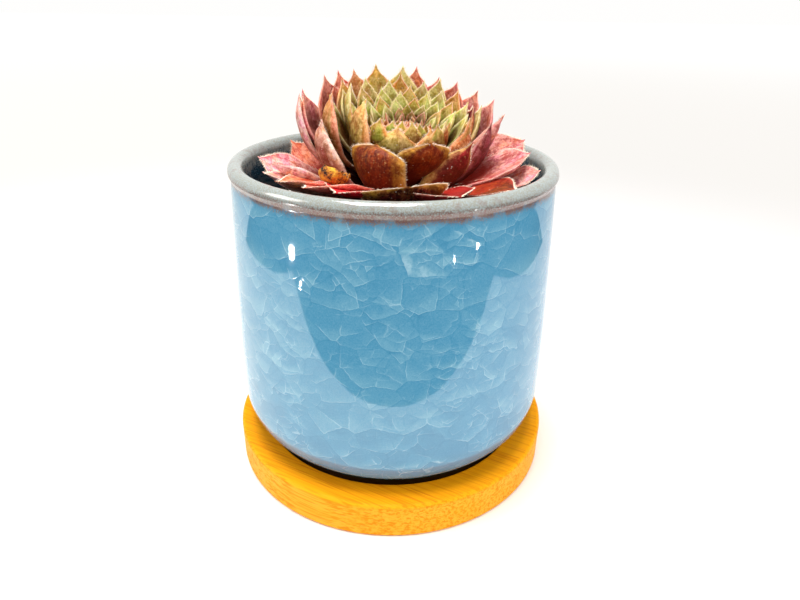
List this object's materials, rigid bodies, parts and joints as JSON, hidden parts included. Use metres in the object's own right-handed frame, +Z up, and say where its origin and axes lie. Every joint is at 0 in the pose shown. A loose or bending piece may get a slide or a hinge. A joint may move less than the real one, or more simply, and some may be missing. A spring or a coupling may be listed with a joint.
{
  "type": "potted houseleek",
  "caption": "Succulent rosette with red basal leaves in soil, in a glazed ceramic pot that stands on a round bamboo saucer; a table-top pot plant",
  "frame": {"origin": "on the floor under the centre of the saucer and pot", "axes": "+Z up, -Y the front that the picture shows, +X to the right seen from the front"},
  "size_m": [0.083, 0.083, 0.0966],
  "materials": {
    "bamboo": "satin yellow bamboo, fine straight grain",
    "blue_crackle_glaze": "glossy blue glaze with pale flake-like crackle, thinned to grey and brown at the rim",
    "potting_soil": "dark loose potting soil",
    "bronze_green_leaf": "fleshy leaf, green at the heart, bronze and pink outside",
    "red_leaf": "fleshy red and pink old leaf",
    "dry_leaf": "dry brown leaf"
  },
  "bodies": {
    "root": {"bamboo_saucer": "bamboo", "glazed_pot": "blue_crackle_glaze", "potting_soil": "potting_soil", "rosette": "bronze_green_leaf", "basal_leaves": "red_leaf", "withered_leaf": "dry_leaf"}
  },
  "joints": []
}
